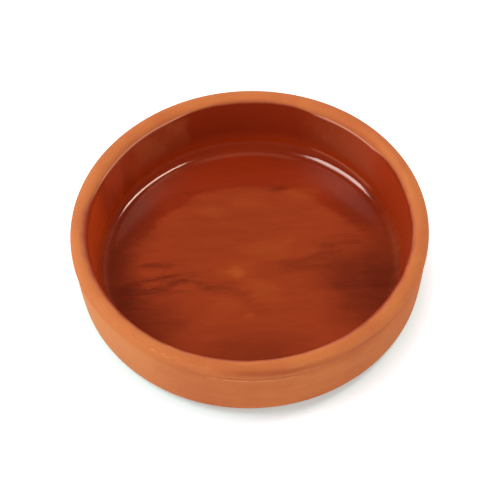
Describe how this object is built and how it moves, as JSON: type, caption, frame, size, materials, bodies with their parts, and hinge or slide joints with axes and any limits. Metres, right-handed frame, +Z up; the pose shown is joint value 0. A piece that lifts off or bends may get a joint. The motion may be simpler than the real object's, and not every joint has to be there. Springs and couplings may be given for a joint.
{
  "type": "clay dish",
  "caption": "Low round dish of fired clay with a rolled lip, a slight waist below it and a rounded foot, bare outside and glazed inside, for baking and serving.",
  "frame": {"origin": "centre of the flat base, on the surface that the dish stands on", "axes": "+Z up along the turning axis; the dish is round, so X and Y are any two level directions at a right angle"},
  "size_m": [0.16, 0.16, 0.0375],
  "materials": {
    "fired_clay": "bare, dry fired clay outside and on the lip; clear glossy red-brown glaze inside"
  },
  "bodies": {
    "root": {"dish": "fired_clay"}
  },
  "joints": []
}
